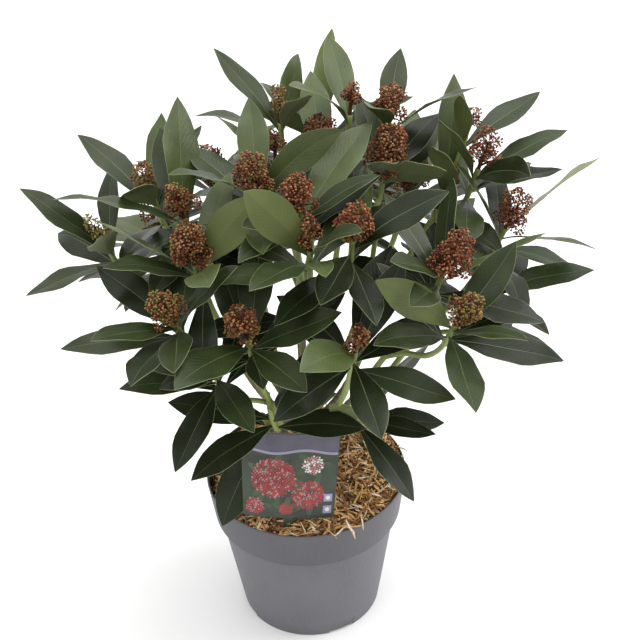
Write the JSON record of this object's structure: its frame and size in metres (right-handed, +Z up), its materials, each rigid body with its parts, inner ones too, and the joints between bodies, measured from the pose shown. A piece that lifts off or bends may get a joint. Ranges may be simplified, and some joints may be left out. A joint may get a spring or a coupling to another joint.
{
  "type": "potted skimmia",
  "caption": "Compact potted evergreen shrub with whorls of long elliptic leaves and domed flower bud heads on short stems, in a round plastic nursery pot with wood mulch and a plant label.",
  "frame": {"origin": "middle of the pot's flat underside, where it meets the floor", "axes": "+Z up along the pot's axis, +Y away from the side that carries the label, +X to the right seen from the label's side"},
  "size_m": [0.4892, 0.4506, 0.5372],
  "materials": {
    "pot_plastic": "matte grey moulded",
    "root_ball": "damp growing medium",
    "wood_splinters": "loose wood splinters",
    "label_card": "printed plastic card",
    "bark": "young bark",
    "leaf_green": "leathery leaves and rust-red buds"
  },
  "bodies": {
    "root": {"pot": "pot_plastic", "soil": "root_ball", "mulch": "wood_splinters", "label": "label_card", "main_stem": "bark", "bough_left": "bark", "bough_left_front": "bark", "bough_upper_left": "bark", "bough_upper_back": "bark", "bough_middle": "bark", "bough_upper_right": "bark", "bough_right": "bark", "bough_right_edge": "bark", "bough_right_front": "bark", "bough_front_left": "bark", "bough_front_right": "bark", "bough_low_left": "bark", "bough_rear_left": "bark", "bough_rear_middle": "bark", "bough_rear_right": "bark", "foliage_left": "leaf_green", "foliage_left_front": "leaf_green", "foliage_upper_left": "leaf_green", "foliage_upper_back": "leaf_green", "foliage_middle": "leaf_green", "foliage_upper_right": "leaf_green", "foliage_right": "leaf_green", "foliage_right_edge": "leaf_green", "foliage_right_front": "leaf_green", "foliage_front_left": "leaf_green", "foliage_front_right": "leaf_green", "foliage_low_left": "leaf_green", "foliage_rear_left": "leaf_green", "foliage_rear_middle": "leaf_green", "foliage_rear_right": "leaf_green"}
  },
  "joints": []
}
